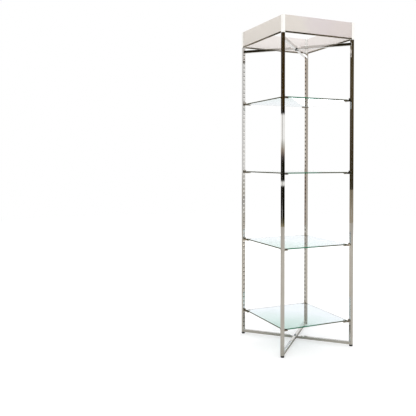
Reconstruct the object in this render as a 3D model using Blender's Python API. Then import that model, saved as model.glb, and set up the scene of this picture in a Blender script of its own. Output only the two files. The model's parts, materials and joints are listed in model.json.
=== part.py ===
"""Glass shelving tower, in metres, +Z up, standing on z = 0 with its centre line on the Z axis.

Two welded frames of square chromed tube cross at a pivot in the base and another under the top. Frame A
holds the left and right posts, frame B the front and rear posts. Glass shelves lie on corner clips that
hook into slots down one face of each post, and a canopy of four panels stands on the post tops.
"""

import math

import bmesh
import bpy
from mathutils import Matrix, Vector

# Posts and their slots
POST_SPACING = 0.449  # centre to centre of neighbouring posts, both ways
POST_WIDTH = 0.016
POST_WALL = 0.0015
POST_CORNER = 0.0012
POST_LENGTH = 1.710
SLOT_PITCH = 0.0254
SLOT_HEIGHT = 0.012
SLOT_WIDTH = 0.008
SLOT_START = 0.0388  # lower end of a post to the middle of its lowest slot
SLOT_MARGIN = 0.006  # least metal between the highest slot and the top arm

# Plugs in the post ends
PLUG_FLANGE = 0.0015
PLUG_DEPTH = 0.018

# Levelling feet
FOOT_DIAMETER = 0.020
FOOT_PAD = 0.0045
FOOT_CHAMFER = 0.0014  # round the pad's top
FOOT_EDGE = 0.0006  # round the sole
FOOT_NECK_DIAMETER = 0.011
FOOT_NECK_HEIGHT = 0.0024
FOOT_STEM_DIAMETER = 0.006
FOOT_STEM_LENGTH = 0.022

# Crossed arms and their pivots
ARM_WIDTH = 0.016
ARM_HEIGHT = 0.016
ARM_WALL = 0.0015
ARM_CORNER = 0.0012
TOP_ARM_DROP = 0.0145  # post top to the top of the upper arms
FOLDED_ANGLE = math.radians(30)  # between the crossed arms when the frames are folded
FOLD_CLEARANCE = 0.001  # left at the notch shoulders when folded
BOLT_DIAMETER = 0.006
BOLT_HEAD_DIAMETER = 0.011
BOLT_HEAD_HEIGHT = 0.0033
BOLT_HEAD_RIM = 0.001  # straight part of the head's side
BOLT_TIP = 0.0005  # bolt end past the nut
WASHER_DIAMETER = 0.0125
WASHER_THICKNESS = 0.001
SLEEVE_CLEARANCE = 0.0005  # sleeve to the inside of the arms
NUT_ACROSS_FLATS = 0.010
NUT_HEIGHT = 0.005

# Glass shelves
SHELF_COUNT = 4
LOWEST_SHELF_SLOT = 4  # slot that the lowest shelf's clips hook into, counted from 0
SLOTS_ABOVE_TOP_SHELF = 11
GLASS_THICKNESS = 0.006
GLASS_CLEARANCE = 0.0059  # post face to glass edge
GLASS_CORNER = 0.006
GLASS_ARRIS = 0.0008

# Corner clips
CLIP_SHEET = 0.002
CLIP_BACK_WIDTH = 0.010
CLIP_BACK_RISE = 0.0015  # middle of the hooked slot to the top of the back plate
CLIP_REACH = 0.0275  # ledge under the glass, from its edge
CLIP_CHAMFER = 0.022  # cut across the ledge's inner corner
CLIP_FLANGE = 0.0055  # depth of the flange below the glass
CLIP_LEDGE = 0.0025
CLIP_LIP = 0.0055  # lip beside the glass edge, above its underside
LIP_GAP = 0.0008  # lip to glass edge
HOOK_RISE = 0.012  # glass underside to the middle of the hooked slot
HOOK_SIDE_GAP = 0.0005  # hook to each side of its slot
HOOK_ENTRY_GAP = 0.0015  # slot height to spare as the hook goes in

# Canopy
CANOPY_HEIGHT = 0.094
CANOPY_POST_WIDTH = 0.016
CANOPY_POST_CORNER = 0.0005
PANEL_THICKNESS = 0.003
GROOVE_DEPTH = 0.003
RAIL_WALL = 0.0012
RAIL_HEIGHT = 0.0075
PIN_DIAMETER = 0.006
PIN_LENGTH = 0.012

# Fits and facets
FIT_GAP = 0.0003  # between pieces that touch
BORE_GAP = 0.0003  # round a shank in its hole, on the radius
OVERRUN = 0.005  # how far a cutter or a joined shape runs past the face it meets
MERGE_DISTANCE = 1e-6
ROUND_STEPS = 20
CORNER_STEPS = 3
DOME_STEPS = 4
SMOOTH_ANGLE = math.radians(35)

# Sizes that follow from those above
POST_CLEARANCE = FOOT_PAD + FOOT_NECK_HEIGHT + PLUG_FLANGE + 2 * FIT_GAP  # floor to a post's lower end
POST_TOP = POST_CLEARANCE + POST_LENGTH
POST_OFFSET = POST_SPACING / 2
POST_RADIUS = POST_OFFSET * math.sqrt(2)
BORE_WIDTH = POST_WIDTH - 2 * POST_WALL
BASE_ARM_BOTTOM = POST_CLEARANCE
TOP_ARM_BOTTOM = POST_TOP - TOP_ARM_DROP - ARM_HEIGHT
NOTCH_HALF = (
    ARM_WIDTH / 2 / math.sin(FOLDED_ANGLE)
    + ARM_WIDTH / 2 / math.tan(FOLDED_ANGLE)
    + FOLD_CLEARANCE
)
SLEEVE_DIAMETER = ARM_WIDTH - 2 * ARM_WALL - 2 * SLEEVE_CLEARANCE
GLASS_INSET = POST_WIDTH / 2 + GLASS_CLEARANCE  # post centre to glass edge
GLASS_SIDE = POST_SPACING - 2 * GLASS_INSET
HOOK_WIDTH = SLOT_WIDTH - 2 * HOOK_SIDE_GAP
HOOK_DROP = (SLOT_HEIGHT - HOOK_ENTRY_GAP) / 2  # the neck and the drop go in through the slot together
HOOK_NECK = HOOK_DROP
CANOPY_BOTTOM = POST_TOP + PLUG_FLANGE + 2 * FIT_GAP
RAIL_WIDTH = PANEL_THICKNESS + 2 * FIT_GAP + 2 * RAIL_WALL
PANEL_OUTSET = CANOPY_POST_WIDTH / 2 - RAIL_WIDTH / 2  # post centre out to the middle of a panel

# The four corners, named as they are seen across a diagonal. At turn 0 the slots face +X.
CORNERS = {
    "front": (-1, -1, 0.0),
    "right": (1, -1, math.pi / 2),
    "rear": (1, 1, math.pi),
    "left": (-1, 1, 3 * math.pi / 2),
}
FRAME_OF = {"front": "b", "rear": "b", "left": "a", "right": "a"}


def clear_scene():
    for old in list(bpy.data.objects):
        bpy.data.objects.remove(old, do_unlink=True)


def finish(name, colour, roughness, metallic, transmission=0.0):
    material = bpy.data.materials.new(name)
    material.use_nodes = True
    shader = material.node_tree.nodes["Principled BSDF"]
    shader.inputs["Base Color"].default_value = (*colour, 1.0)
    shader.inputs["Roughness"].default_value = roughness
    shader.inputs["Metallic"].default_value = metallic
    shader.inputs["Transmission Weight"].default_value = transmission
    return material


def rounded_outline(width, depth, radius):
    """Corner-rounded rectangle about the origin, counter-clockwise."""
    points = []
    for quarter, (sx, sy) in enumerate(((1, 1), (-1, 1), (-1, -1), (1, -1))):
        centre = Vector((sx * (width / 2 - radius), sy * (depth / 2 - radius)))
        for step in range(CORNER_STEPS + 1):
            angle = (quarter + step / CORNER_STEPS) * math.pi / 2
            points.append(centre + radius * Vector((math.cos(angle), math.sin(angle))))
    return points


def ring_outline(radius, steps=ROUND_STEPS):
    angles = [2 * math.pi * step / steps for step in range(steps)]
    return [Vector((radius * math.cos(a), radius * math.sin(a))) for a in angles]


def box_outline(x0, x1, y0, y1):
    return [Vector((x0, y0)), Vector((x1, y0)), Vector((x1, y1)), Vector((x0, y1))]


def square_outline(width):
    return box_outline(-width / 2, width / 2, -width / 2, width / 2)


def dome(radius, low, high):
    """Quarter ellipse of (radius, height) points, from the axis at height high out to the radius at low."""
    angles = [step / DOME_STEPS * math.pi / 2 for step in range(DOME_STEPS + 1)]
    return [(radius * math.sin(a), low + (high - low) * math.cos(a)) for a in angles]


def prism(outline, bottom, top):
    """Solid of a counter-clockwise outline between two heights."""
    shape = bmesh.new()
    base = shape.faces.new([shape.verts.new((p.x, p.y, bottom)) for p in outline])
    grown = bmesh.ops.extrude_face_region(shape, geom=[base])["geom"]
    lifted = [item for item in grown if isinstance(item, bmesh.types.BMVert)]
    bmesh.ops.translate(shape, verts=lifted, vec=(0, 0, top - bottom))
    bmesh.ops.recalc_face_normals(shape, faces=shape.faces)
    return to_mesh(shape)


def turned(profile):
    """Solid of revolution about Z from (radius, height) points that start and end on the axis."""
    shape = bmesh.new()
    points = [shape.verts.new((radius, 0, height)) for radius, height in profile]
    edges = [shape.edges.new(pair) for pair in zip(points, points[1:])]
    bmesh.ops.spin(
        shape,
        geom=points + edges,
        cent=(0, 0, 0),
        axis=(0, 0, 1),
        angle=2 * math.pi,
        steps=ROUND_STEPS,
        use_merge=True,
    )
    bmesh.ops.remove_doubles(shape, verts=shape.verts, dist=MERGE_DISTANCE)
    bmesh.ops.recalc_face_normals(shape, faces=shape.faces)
    mesh = to_mesh(shape)
    mesh.shade_smooth()
    mesh.set_sharp_from_angle(angle=SMOOTH_ANGLE)
    return mesh


def to_mesh(shape):
    mesh = bpy.data.meshes.new("shape")
    shape.to_mesh(mesh)
    shape.free()
    return mesh


def moved(mesh, matrix):
    copy = mesh.copy()
    copy.transform(matrix)
    return copy


def carved(mesh, joined=(), cut=()):
    """The mesh with others joined to it and then cut from it."""
    base = bpy.data.objects.new("carved", mesh)
    bpy.context.scene.collection.objects.link(base)
    helpers = []
    for operation, meshes in (("UNION", joined), ("DIFFERENCE", cut)):
        for tool_mesh in meshes:
            tool = bpy.data.objects.new("tool", tool_mesh)
            bpy.context.scene.collection.objects.link(tool)
            helpers.append(tool)
            boolean = base.modifiers.new(operation, "BOOLEAN")
            boolean.operation = operation
            boolean.solver = "EXACT"
            boolean.object = tool
    bpy.context.view_layer.update()
    evaluated = base.evaluated_get(bpy.context.evaluated_depsgraph_get())
    result = bpy.data.meshes.new_from_object(evaluated)
    for helper in [base, *helpers]:
        bpy.data.objects.remove(helper, do_unlink=True)
    return result


def joint_empty(name, location, parent=None):
    """A bare axis that the pieces of one moving body hang from."""
    empty = bpy.data.objects.new(name, None)
    bpy.context.scene.collection.objects.link(empty)
    empty.parent = parent
    empty.location = location
    return empty


def piece(name, mesh, material, location, parent, turn=0.0):
    """A named sub-part, placed in the world and hung from its body's empty, which is never turned."""
    node = bpy.data.objects.new(name, mesh)
    bpy.context.scene.collection.objects.link(node)
    if not mesh.materials:
        mesh.materials.append(material)
    bpy.context.view_layer.update()
    node.parent = parent
    node.location = Vector(location) - parent.matrix_world.translation
    node.rotation_euler = (0, 0, turn)
    return node


def corner_place(corner, height):
    sx, sy, _ = CORNERS[corner]
    return (sx * POST_OFFSET, sy * POST_OFFSET, height)


def slot_height(index):
    """Middle of a slot above the lower end of its post."""
    return SLOT_START + index * SLOT_PITCH


def slot_count():
    highest = POST_LENGTH - TOP_ARM_DROP - ARM_HEIGHT - SLOT_MARGIN - SLOT_HEIGHT / 2
    return int((highest - SLOT_START) / SLOT_PITCH) + 1


def shelf_slots():
    """The slots that hold the shelves' clips, spread evenly from the lowest shelf to the top one."""
    top_slot = slot_count() - 1 - SLOTS_ABOVE_TOP_SHELF
    span = top_slot - LOWEST_SHELF_SLOT
    bays = SHELF_COUNT - 1
    return [LOWEST_SHELF_SLOT + math.ceil(span * bay / bays) for bay in range(SHELF_COUNT)]


def post_mesh():
    """Square tube with a column of slots through its +X wall."""
    outer = prism(rounded_outline(POST_WIDTH, POST_WIDTH, POST_CORNER), 0, POST_LENGTH)
    bore = prism(square_outline(BORE_WIDTH), -OVERRUN, POST_LENGTH + OVERRUN)
    wall_inside = BORE_WIDTH / 2 - POST_WALL
    slots = bmesh.new()
    for index in range(slot_count()):
        middle = slot_height(index)
        slot = prism(
            box_outline(wall_inside, POST_WIDTH / 2 + OVERRUN, -SLOT_WIDTH / 2, SLOT_WIDTH / 2),
            middle - SLOT_HEIGHT / 2,
            middle + SLOT_HEIGHT / 2,
        )
        slots.from_mesh(slot)
        bpy.data.meshes.remove(slot)
    return carved(outer, cut=[bore, to_mesh(slots)])


def foot_mesh():
    """Levelling foot with its sole at z = 0."""
    pad = FOOT_DIAMETER / 2
    neck = FOOT_NECK_DIAMETER / 2
    stem = FOOT_STEM_DIAMETER / 2
    shoulder = FOOT_PAD + FOOT_NECK_HEIGHT
    profile = [
        (0, shoulder + FOOT_STEM_LENGTH),
        (stem, shoulder + FOOT_STEM_LENGTH),
        (stem, shoulder),
        (neck, shoulder),
        (neck, FOOT_PAD),
        (pad - FOOT_CHAMFER, FOOT_PAD),
        (pad, FOOT_PAD - FOOT_CHAMFER),
        (pad, FOOT_EDGE),
        (pad - FOOT_EDGE, 0),
        (0, 0),
    ]
    return turned(profile)


def plug_mesh(hole_diameter):
    """Plug with a flange above z = 0 that covers the tube's end, and a hole on its axis."""
    flange = prism(rounded_outline(POST_WIDTH, POST_WIDTH, POST_CORNER), 0, PLUG_FLANGE)
    body = prism(square_outline(BORE_WIDTH - 2 * FIT_GAP), -PLUG_DEPTH, PLUG_FLANGE / 2)
    past = PLUG_DEPTH + OVERRUN
    hole = prism(ring_outline(hole_diameter / 2 + BORE_GAP), -past, past)
    return carved(flange, joined=[body], cut=[hole])


def arm_mesh(keeps_top):
    """Square tube along X, saddle-cut to the posts at both ends and halved in height at the crossing."""
    lay_down = Matrix.Rotation(math.pi / 2, 4, "Y")
    lift = Matrix.Translation((0, 0, ARM_HEIGHT / 2))
    outer = prism(rounded_outline(ARM_HEIGHT, ARM_WIDTH, ARM_CORNER), -POST_RADIUS, POST_RADIUS)
    tube = moved(outer, lift @ lay_down)
    bore_end = POST_RADIUS + OVERRUN
    bore_side = ARM_WIDTH / 2 - ARM_WALL
    bore_outline = box_outline(-bore_end, bore_end, -bore_side, bore_side)
    bore = prism(bore_outline, ARM_WALL, ARM_HEIGHT - ARM_WALL)
    below = -OVERRUN
    above = ARM_HEIGHT + OVERRUN
    post_seat = prism(square_outline(POST_WIDTH + 2 * FIT_GAP), below, above)
    eighth_turn = Matrix.Rotation(math.pi / 4, 4, "Z")
    ends = [Matrix.Translation((end, 0, 0)) for end in (-POST_RADIUS, POST_RADIUS)]
    seats = [moved(post_seat, end @ eighth_turn) for end in ends]
    side = ARM_WIDTH / 2 + OVERRUN
    notch_outline = box_outline(-NOTCH_HALF, NOTCH_HALF, -side, side)
    if keeps_top:
        notch = prism(notch_outline, below, ARM_HEIGHT / 2 + FIT_GAP / 2)
    else:
        notch = prism(notch_outline, ARM_HEIGHT / 2 - FIT_GAP / 2, above)
    hole = prism(ring_outline(BOLT_DIAMETER / 2 + BORE_GAP), below, above)
    return carved(tube, cut=[bore, *seats, notch, hole])


def bolt_mesh():
    """Button-head bolt, its head's underside at z = 0."""
    shank = BOLT_DIAMETER / 2
    head = BOLT_HEAD_DIAMETER / 2
    length = ARM_HEIGHT + WASHER_THICKNESS + NUT_HEIGHT + 3 * FIT_GAP + BOLT_TIP
    profile = dome(head, BOLT_HEAD_RIM, BOLT_HEAD_HEIGHT)
    profile += [(head, 0), (shank, 0), (shank, -length), (0, -length)]
    return turned(profile)


def bored_mesh(outline, hole_diameter, height):
    """A washer, sleeve or nut: an outline of some height with a hole on its axis."""
    blank = prism(outline, 0, height)
    hole = prism(ring_outline(hole_diameter / 2 + BORE_GAP), -OVERRUN, height + OVERRUN)
    return carved(blank, cut=[hole])


def shelf_mesh():
    """Glass plate with rounded corners and ground arrises, its underside at z = 0."""
    plate = prism(rounded_outline(GLASS_SIDE, GLASS_SIDE, GLASS_CORNER), 0, GLASS_THICKNESS)
    shape = bmesh.new()
    shape.from_mesh(plate)
    rims = [e for e in shape.edges if abs(e.verts[0].co.z - e.verts[1].co.z) < GLASS_ARRIS]
    bmesh.ops.bevel(shape, geom=rims, offset=GLASS_ARRIS, segments=1, affect="EDGES")
    return to_mesh(shape)


def lip_end():
    """How far a lip runs from the post centre and still clears the glass corner when the frame swings."""
    recess = GLASS_CORNER * (math.sqrt(2) - 1)
    swing = (POST_OFFSET - GLASS_INSET) * math.sqrt(2) - recess + LIP_GAP
    across = POST_OFFSET - GLASS_INSET + LIP_GAP
    return POST_OFFSET - math.sqrt(swing**2 - across**2)


def clip_mesh():
    """Corner clip of folded sheet. Its post is on the Z axis, slots facing +X, glass underside at z = 0."""
    face = POST_WIDTH / 2 + FIT_GAP
    root = face + CLIP_SHEET / 2
    lip = GLASS_INSET - LIP_GAP
    outside = lip - CLIP_SHEET
    inside = outside + CLIP_SHEET / 2
    end = GLASS_INSET + CLIP_REACH
    seat = -FIT_GAP
    back_outline = box_outline(face, face + CLIP_SHEET, -CLIP_BACK_WIDTH / 2, lip)
    back = prism(back_outline, -CLIP_FLANGE, HOOK_RISE + CLIP_BACK_RISE)
    flange_along = prism(box_outline(root, end, outside, lip), -CLIP_FLANGE, seat)
    flange_across = prism(box_outline(outside, lip, inside, end), -CLIP_FLANGE, seat)
    ledge_outline = [
        Vector((inside, inside)),
        Vector((end, inside)),
        Vector((end, end - CLIP_CHAMFER)),
        Vector((end - CLIP_CHAMFER, end)),
        Vector((inside, end)),
    ]
    ledge = prism(ledge_outline, seat - CLIP_LEDGE, seat)
    lip_along = prism(box_outline(root, lip_end(), outside, lip), -CLIP_LEDGE, CLIP_LIP)
    lip_across = prism(box_outline(outside, lip, inside, lip_end()), -CLIP_LEDGE, CLIP_LIP)
    slot_floor = HOOK_RISE - SLOT_HEIGHT / 2 + FIT_GAP
    behind = BORE_WIDTH / 2 - FIT_GAP
    tip = behind - CLIP_SHEET
    half = HOOK_WIDTH / 2
    neck = prism(box_outline(tip, root, -half, half), slot_floor, slot_floor + HOOK_NECK)
    hook_top = slot_floor + HOOK_NECK / 2
    hook = prism(box_outline(tip, behind, -half, half), slot_floor - HOOK_DROP, hook_top)
    return carved(back, joined=[flange_along, flange_across, ledge, lip_along, lip_across, neck, hook])


def canopy_post_outline():
    """Square with grooves for the panels in its +X and +Y faces, each near an outer side."""
    half = CANOPY_POST_WIDTH / 2
    low = -PANEL_OUTSET - PANEL_THICKNESS / 2 - FIT_GAP
    high = -PANEL_OUTSET + PANEL_THICKNESS / 2 + FIT_GAP
    root = half - GROOVE_DEPTH
    soft = CANOPY_POST_CORNER
    points = [
        (half, -half + soft),
        (half, low),
        (root, low),
        (root, high),
        (half, high),
        (half, half - soft),
        (half - soft, half),
        (high, half),
        (high, root),
        (low, root),
        (low, half),
        (-half + soft, half),
        (-half, half - soft),
        (-half, -half + soft),
        (-half + soft, -half),
        (half - soft, -half),
    ]
    return [Vector(point) for point in points]


def canopy_post_mesh(pinned):
    upright = prism(canopy_post_outline(), 0, CANOPY_HEIGHT)
    if not pinned:
        return upright
    pin = prism(ring_outline(PIN_DIAMETER / 2), -PIN_LENGTH, OVERRUN)
    return carved(upright, joined=[pin])


def panel_mesh():
    """Panel along X in its own plane y = 0, from its place in the rail to the top."""
    reach = POST_OFFSET - CANOPY_POST_WIDTH / 2 + GROOVE_DEPTH - FIT_GAP
    half = PANEL_THICKNESS / 2
    return prism(box_outline(-reach, reach, -half, half), RAIL_WALL + FIT_GAP, CANOPY_HEIGHT)


def rail_mesh():
    """Channel along X that the foot of a panel stands in, between two canopy posts."""
    reach = POST_OFFSET - CANOPY_POST_WIDTH / 2 - FIT_GAP
    half = RAIL_WIDTH / 2
    slit = PANEL_THICKNESS / 2 + FIT_GAP
    bar = prism(box_outline(-reach, reach, -half, half), 0, RAIL_HEIGHT)
    past = reach + OVERRUN
    groove = prism(box_outline(-past, past, -slit, slit), RAIL_WALL, RAIL_HEIGHT + OVERRUN)
    return carved(bar, cut=[groove])


def build_posts(frames, metal, plastic):
    post = post_mesh()
    foot = foot_mesh()
    insert = moved(plug_mesh(FOOT_STEM_DIAMETER), Matrix.Rotation(math.pi, 4, "X"))
    top_plug = plug_mesh(PIN_DIAMETER)
    for corner, (_, _, turn) in CORNERS.items():
        frame = frames[FRAME_OF[corner]]
        piece(f"post_{corner}", post, metal["post"], corner_place(corner, POST_CLEARANCE), frame, turn)
        insert_at = corner_place(corner, POST_CLEARANCE - FIT_GAP)
        piece(f"foot_insert_{corner}", insert, plastic["insert"], insert_at, frame, turn)
        piece(f"levelling_foot_{corner}", foot, plastic["foot"], corner_place(corner, 0), frame)
        plug_at = corner_place(corner, POST_TOP + FIT_GAP)
        piece(f"post_top_plug_{corner}", top_plug, plastic["plug"], plug_at, frame, turn)


def build_arms(frames, metal):
    kept_low = arm_mesh(keeps_top=False)
    kept_high = arm_mesh(keeps_top=True)
    bolt = bolt_mesh()
    washer = bored_mesh(ring_outline(WASHER_DIAMETER / 2), BOLT_DIAMETER, WASHER_THICKNESS)
    sleeve_height = ARM_HEIGHT - 2 * ARM_WALL - 2 * FIT_GAP
    sleeve = bored_mesh(ring_outline(SLEEVE_DIAMETER / 2), BOLT_DIAMETER, sleeve_height)
    nut = bored_mesh(ring_outline(NUT_ACROSS_FLATS / math.sqrt(3), steps=6), BOLT_DIAMETER, NUT_HEIGHT)
    for level, bottom in (("base", BASE_ARM_BOTTOM), ("top", TOP_ARM_BOTTOM)):
        arm_at = (0, 0, bottom)
        piece(f"{level}_arm_left_right", kept_low, metal["arm"], arm_at, frames["a"], -math.pi / 4)
        piece(f"{level}_arm_front_rear", kept_high, metal["arm"], arm_at, frames["b"], math.pi / 4)
        washer_at = bottom + ARM_HEIGHT + FIT_GAP
        head_at = washer_at + WASHER_THICKNESS + FIT_GAP
        sleeve_at = bottom + ARM_WALL + FIT_GAP
        nut_at = bottom - FIT_GAP - NUT_HEIGHT
        piece(f"{level}_pivot_bolt", bolt, metal["bolt"], (0, 0, head_at), frames["a"])
        piece(f"{level}_pivot_washer", washer, metal["bolt"], (0, 0, washer_at), frames["a"])
        piece(f"{level}_pivot_sleeve", sleeve, metal["bolt"], (0, 0, sleeve_at), frames["a"])
        piece(f"{level}_pivot_nut", nut, metal["nut"], (0, 0, nut_at), frames["a"])


def build_shelves(frames, metal, glass):
    plate = shelf_mesh()
    clip = clip_mesh()
    for number, slot in enumerate(shelf_slots(), start=1):
        underside = POST_CLEARANCE + slot_height(slot) - HOOK_RISE
        lift = joint_empty(f"shelf_{number}_lift", (0, 0, underside), frames["a"])
        piece(f"glass_shelf_{number}", plate, glass, (0, 0, underside), lift)
        for corner, (_, _, turn) in CORNERS.items():
            frame = frames[FRAME_OF[corner]]
            clip_at = corner_place(corner, underside)
            piece(f"shelf_{number}_clip_{corner}", clip, metal["clip"], clip_at, frame, turn)


def build_canopy(frames, metal, plastic):
    lift = joint_empty("canopy_lift", (0, 0, CANOPY_BOTTOM), frames["a"])
    pinned = canopy_post_mesh(pinned=True)
    plain = canopy_post_mesh(pinned=False)
    panel = panel_mesh()
    rail = rail_mesh()
    names = list(CORNERS)
    for index, (corner, (_, _, turn)) in enumerate(CORNERS.items()):
        upright = pinned if FRAME_OF[corner] == "a" else plain
        corner_at = corner_place(corner, CANOPY_BOTTOM)
        piece(f"canopy_post_{corner}", upright, plastic["canopy_post"], corner_at, lift, turn)
        side = f"{corner}_{names[(index + 1) % len(names)]}"
        middle = Matrix.Rotation(turn, 3, "Z") @ Vector((0, -POST_OFFSET - PANEL_OUTSET, 0))
        side_at = middle + Vector((0, 0, CANOPY_BOTTOM))
        piece(f"canopy_panel_{side}", panel, plastic["panel"], side_at, lift, turn)
        piece(f"canopy_rail_{side}", rail, metal["rail"], side_at, lift, turn)


def main():
    clear_scene()
    metal = {
        "post": finish("chromed_post", (0.66, 0.65, 0.63), 0.08, 1.0),
        "arm": finish("chromed_arm", (0.62, 0.61, 0.58), 0.10, 1.0),
        "clip": finish("nickel_clip", (0.60, 0.59, 0.57), 0.18, 1.0),
        "bolt": finish("zinc_bolt", (0.50, 0.50, 0.50), 0.30, 1.0),
        "nut": finish("blackened_nut", (0.03, 0.03, 0.03), 0.45, 1.0),
        "rail": finish("dark_chrome_rail", (0.20, 0.19, 0.18), 0.15, 1.0),
    }
    plastic = {
        "insert": finish("black_insert", (0.02, 0.02, 0.02), 0.55, 0.0),
        "foot": finish("black_foot", (0.02, 0.02, 0.02), 0.50, 0.0),
        "plug": finish("grey_plug", (0.30, 0.30, 0.30), 0.50, 0.0),
        "canopy_post": finish("white_canopy_post", (0.88, 0.88, 0.87), 0.40, 0.0),
        "panel": finish("pale_panel", (0.73, 0.67, 0.64), 0.55, 0.0),
    }
    glass = finish("clear_glass", (0.80, 0.93, 0.88), 0.02, 0.0, transmission=0.9)
    frame_a = joint_empty("frame_a", (0, 0, 0))
    frame_b = joint_empty("frame_b_fold", (0, 0, 0), frame_a)
    frames = {"a": frame_a, "b": frame_b}
    build_posts(frames, metal, plastic)
    build_arms(frames, metal)
    build_shelves(frames, metal, glass)
    build_canopy(frames, metal, plastic)


main()
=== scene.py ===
"""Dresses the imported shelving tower: chromed posts, crossed arms, glass shelves and a pale canopy."""
import json
import math

import bmesh
import bpy
from mathutils import Matrix, Vector

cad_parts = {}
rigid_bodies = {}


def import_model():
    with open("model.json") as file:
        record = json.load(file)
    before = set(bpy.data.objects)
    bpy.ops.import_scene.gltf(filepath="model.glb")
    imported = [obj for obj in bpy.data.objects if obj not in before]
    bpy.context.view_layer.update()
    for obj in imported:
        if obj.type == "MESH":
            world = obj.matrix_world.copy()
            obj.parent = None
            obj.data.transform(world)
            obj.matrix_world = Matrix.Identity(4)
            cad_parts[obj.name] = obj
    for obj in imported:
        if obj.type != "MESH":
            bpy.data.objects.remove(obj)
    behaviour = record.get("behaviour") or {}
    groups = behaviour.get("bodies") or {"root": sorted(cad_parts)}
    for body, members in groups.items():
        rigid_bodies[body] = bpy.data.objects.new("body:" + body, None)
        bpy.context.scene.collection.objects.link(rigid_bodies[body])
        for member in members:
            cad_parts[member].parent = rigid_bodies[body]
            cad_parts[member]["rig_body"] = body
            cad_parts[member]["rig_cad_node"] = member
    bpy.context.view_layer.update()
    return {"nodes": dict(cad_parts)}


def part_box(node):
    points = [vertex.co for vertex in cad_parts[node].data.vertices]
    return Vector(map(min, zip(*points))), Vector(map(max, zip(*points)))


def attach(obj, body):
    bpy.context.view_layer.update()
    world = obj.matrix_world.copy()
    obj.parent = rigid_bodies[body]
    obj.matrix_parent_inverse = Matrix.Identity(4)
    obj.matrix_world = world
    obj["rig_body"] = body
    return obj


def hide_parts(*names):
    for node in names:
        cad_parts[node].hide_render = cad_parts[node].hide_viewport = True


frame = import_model()


# The setting: a pale floor under even white light, seen from where the photograph was taken.
# Floor and sky look white to the eye and through glass. The floor keeps the tower's shadow.

MM = 0.001
FLOOR_RADIUS = 7.5
FLOOR_DROP = 0.2 * MM  # keeps the floor clear of the feet's soles
FLOOR_GLOW = 0.5  # the share of the floor's white that no shadow takes
SKY_DIMMING = -0.12  # taken off the sky's white where it lights a matt surface


def linear(code):
    """A colour written as sRGB hex, as linear red, green, blue and alpha."""
    parts = [int(code[start : start + 2], 16) / 255 for start in (1, 3, 5)]
    return [p / 12.92 if p <= 0.04045 else ((p + 0.055) / 1.055) ** 2.4 for p in parts] + [1.0]


def add_node(tree, kind, fixed=None, fed=None, **settings):
    """Adds a node with its settings, the inputs that stay fixed and the inputs that other nodes feed."""
    made = tree.nodes.new(kind)
    for name, value in settings.items():
        setattr(made, name, value)
    for socket, value in (fixed or {}).items():
        made.inputs[socket].default_value = value
    for socket, source in (fed or {}).items():
        tree.links.new(source, made.inputs[socket])
    return made


bpy.context.scene.view_settings.view_transform = "Standard"
world = bpy.data.worlds.new("white_studio")
bpy.context.scene.world = world
world.use_nodes = True
sky = world.node_tree
sky.nodes.clear()
sky_ray = add_node(sky, "ShaderNodeLightPath")
sky_level = add_node(
    sky,
    "ShaderNodeMath",
    {1: SKY_DIMMING, 2: 1.0},
    {0: sky_ray.outputs["Is Diffuse Ray"]},
    operation="MULTIPLY_ADD",
)
sky_light = add_node(
    sky,
    "ShaderNodeBackground",
    {"Color": linear("#ffffff")},
    {"Strength": sky_level.outputs[0]},
)
add_node(sky, "ShaderNodeOutputWorld", None, {"Surface": sky_light.outputs[0]})

bpy.ops.object.select_all(action="DESELECT")
bpy.ops.mesh.primitive_circle_add(
    vertices=96, radius=FLOOR_RADIUS, fill_type="NGON", location=(0, 0, -FLOOR_DROP)
)
floor = bpy.context.object
floor.name = "studio_floor"
floor_paper = bpy.data.materials.new("warm_floor_paper")
floor_paper.use_nodes = True
paper = floor_paper.node_tree
paper.nodes.clear()
floor_ray = add_node(paper, "ShaderNodeLightPath")
seen_white = add_node(
    paper,
    "ShaderNodeMath",
    None,
    {0: floor_ray.outputs["Is Camera Ray"], 1: floor_ray.outputs["Is Transmission Ray"]},
    operation="MAXIMUM",
)
warm_paper = add_node(paper, "ShaderNodeBsdfDiffuse", {"Color": linear("#cfcac1")})
lit_white = add_node(paper, "ShaderNodeBsdfDiffuse", {"Color": linear("#c8c8c8")})
white_base = add_node(
    paper, "ShaderNodeEmission", {"Color": linear("#ffffff"), "Strength": FLOOR_GLOW}
)
white_paper = add_node(
    paper, "ShaderNodeAddShader", None, {0: lit_white.outputs[0], 1: white_base.outputs[0]}
)
paper_mix = add_node(
    paper,
    "ShaderNodeMixShader",
    None,
    {0: seen_white.outputs[0], 1: warm_paper.outputs[0], 2: white_paper.outputs[0]},
)
add_node(paper, "ShaderNodeOutputMaterial", None, {"Surface": paper_mix.outputs[0]})
floor.data.materials.append(floor_paper)

# Chrome looks like chrome by what stands round it. These plain cards are seen only in its reflections.
# Each has its middle, its width, its turn in degrees, its level, and its colours from the bottom up.
FRONT_POST_BANDS = (
    (0.0, "#8a8062"),
    (0.07, "#4a4630"),
    (0.16, "#12110b"),
    (0.63, "#12110b"),
    (0.66, "#f0f0ee"),
    (0.70, "#f0f0ee"),
    (0.73, "#12110b"),
    (1.0, "#16150e"),
    (1.1, "#4a4140"),
    (1.2, "#a19488"),
    (1.3, "#d3d2cc"),
    (1.39, "#ffffff"),
    (1.75, "#ffffff"),
    (1.79, "#12110b"),
    (1.95, "#38290f"),
    (3.3, "#38290f"),
)
RIGHT_POST_BROWNS = (
    (0.0, "#b4a996"),
    (0.55, "#998e79"),
    (0.56, "#3f3622"),
    (0.82, "#3f3622"),
    (1.5, "#52452f"),
    (2.3, "#5e5138"),
    (3.1, "#4e432d"),
)
REAR_POST_TANS = (
    (0.0, "#aa9787"),
    (0.72, "#aa9787"),
    (1.12, "#fff6ea"),
    (1.95, "#fff6ea"),
    (2.44, "#ddccbb"),
    (2.95, "#ddccbb"),
)
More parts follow.
